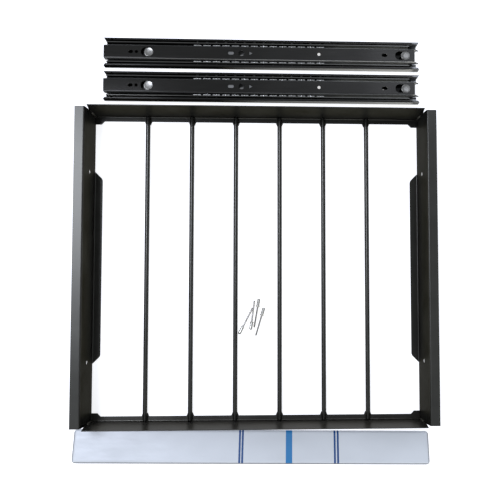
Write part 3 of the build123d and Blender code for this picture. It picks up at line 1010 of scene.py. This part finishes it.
def seen_directly(tree):
    """1 for camera, glossy and transmission rays."""
    path = add_node(tree, "LightPath")
    total = path.outputs["Is Camera Ray"]
    for kind in ("Is Glossy Ray", "Is Transmission Ray"):
        total = calculated(tree, "ADD", total, path.outputs[kind], use_clamp=True)
    return total


def floor_material(name, colour):
    """Matt white seamless paper that keeps soft shadows and reads as white."""
    material, tree = new_material(name)
    fibre = object_noise(tree, feature=3.0, detail=3.0)
    matt = add_node(tree, "BsdfDiffuse", {"Color": mottled(tree, fibre, colour, dark=0.99, light=1.0)})
    strength = calculated(tree, "MULTIPLY", seen_directly(tree), FLOOR_GLOW)
    glow = add_node(tree, "Emission", {"Color": (1, 1, 1, 1), "Strength": strength})
    both = add_node(tree, "AddShader", {0: matt.outputs[0], 1: glow.outputs[0]})
    add_node(tree, "OutputMaterial", {"Surface": both.outputs[0]})
    return material


def wall_material(name, colour):
    """Matt emulsion on plaster: pale grey with a faint roller texture."""
    material, tree = new_material(name)
    stipple = object_noise(tree, feature=8.0, detail=3.0)
    tint = mottled(tree, stipple, colour, dark=0.98, light=1.02)
    finish_surface(tree, tint, roughness=0.9, normal=bumped(tree, stipple, depth=0.3))
    return material


class WINERACK_OT_set_stage(bpy.types.Operator):
    """Sets the floor, backdrop, lights and camera"""

    bl_idname = "wine_rack.set_stage"
    bl_label = "Stage"

    def execute(self, context):
        scene = context.scene
        self.lay_floor(scene.wine_rack_sizes, scene.wine_rack_colours)
        self.hang_panes(scene)
        lamp = self.hang_lamp(scene, "front_panel", PANEL_PLACE, PANEL_SIZE, PANEL_RADIANCE)
        lamp.rotation_euler = (math.radians(PANEL_LEAN), 0, 0)
        self.set_world(scene)
        self.set_camera(scene)
        scene.view_settings.view_transform = "Standard"
        return {"FINISHED"}

    def lay_floor(self, sizes, colours):
        """Round white floor in a pale grey wall, which gives metal something darker to show at its sides."""
        radius = sizes.floor_radius
        paper = floor_material("seamless_paper", colours.floor_paint)
        plaster = wall_material("matt_wall_paint", colours.wall_paint)
        makes = (
            ("studio_floor", [(0.0, 0.0), (0.0, radius)], paper),
            ("studio_wall", [(0.0, radius), (sizes.wall_height, radius)], plaster),
        )
        for name, profile, material in makes:
            piece = object_from(spun(profile, STAGE_STEPS, UP), name, material)

    def hang_lamp(self, scene, name, place, size, radiance):
        """Evenly bright rectangle that looks straight down."""
        lamp = bpy.data.lights.new(name, "AREA")
        lamp.shape = "RECTANGLE"
        lamp.size, lamp.size_y = size
        lamp.energy = radiance * math.pi * size[0] * size[1]
        holder = bpy.data.objects.new(name, lamp)
        holder.location = place
        scene.collection.objects.link(holder)
        return holder

    def hang_panes(self, scene):
        """Panes that look straight down; the front rail throws no shadow of them on the strip."""
        casters = bpy.data.collections.new("shadow_casters")
        for piece in list(scene.objects):
            if piece.type == "MESH" and piece.name != "frame_front_rail":
                casters.objects.link(piece)
        for number, (x, y, width, depth, radiance) in enumerate(PANES, start=1):
            name = f"window_pane_{number}"
            pane = self.hang_lamp(scene, name, (x, y, PANE_HEIGHT), (width, depth), radiance)
            pane.data.color = linear(PANE_TINT)
            pane.light_linking.blocker_collection = casters

    def set_world(self, scene):
        """Even bluish light from all round."""
        world = bpy.data.worlds.new("soft_room")
        world.use_nodes = True
        tree = world.node_tree
        tree.nodes.clear()
        sky = add_node(tree, "Background", {"Color": rgba(linear(WORLD_TINT)), "Strength": WORLD_STRENGTH})
        add_node(tree, "OutputWorld", {"Surface": sky.outputs[0]})
        scene.world = world

    def set_camera(self, scene):
        lens = bpy.data.cameras.new("photo_camera")
        lens.lens = CAMERA_LENS
        lens.shift_x, lens.shift_y = CAMERA_SHIFT
        camera = bpy.data.objects.new("photo_camera", lens)
        camera.location = CAMERA_PLACE
        camera.rotation_euler = [math.radians(angle) for angle in CAMERA_TILT]
        scene.collection.objects.link(camera)
        scene.camera = camera


class WINERACK_PT_pieces(bpy.types.Panel):
    """Shows the wine rack's operators, sizes and colours in the sidebar"""

    bl_idname = "WINERACK_PT_pieces"
    bl_label = "Wine Rack"
    bl_space_type = "VIEW_3D"
    bl_region_type = "UI"
    bl_category = "Wine Rack"

    def draw(self, context):
        layout = self.layout
        for operator in OPERATORS:
            layout.operator(operator.bl_idname)
        for group in (context.scene.wine_rack_sizes, context.scene.wine_rack_colours):
            box = layout.box()
            for name in group.__annotations__:
                box.prop(group, name)


OPERATORS = (
    WINERACK_OT_coat_frame,
    WINERACK_OT_film_strip,
    WINERACK_OT_turn_rivets,
    WINERACK_OT_finish_slides,
    WINERACK_OT_set_stage,
)
CLASSES = (WineRackSizes, WineRackColours, *OPERATORS, WINERACK_PT_pieces)


def register():
    """Adds the classes and the scene's sizes and colours."""
    for item in CLASSES:
        bpy.utils.register_class(item)
    bpy.types.Scene.wine_rack_sizes = PointerProperty(type=WineRackSizes)
    bpy.types.Scene.wine_rack_colours = PointerProperty(type=WineRackColours)


def unregister():
    """Takes off what register added."""
    del bpy.types.Scene.wine_rack_colours
    del bpy.types.Scene.wine_rack_sizes
    for item in reversed(CLASSES):
        bpy.utils.unregister_class(item)


def main():
    """Builds every piece and the stage."""
    register()
    bpy.ops.wine_rack.coat_frame()
    bpy.ops.wine_rack.film_strip()
    bpy.ops.wine_rack.turn_rivets()
    bpy.ops.wine_rack.finish_slides()
    bpy.ops.wine_rack.set_stage()


if __name__ == "__main__":
    main()
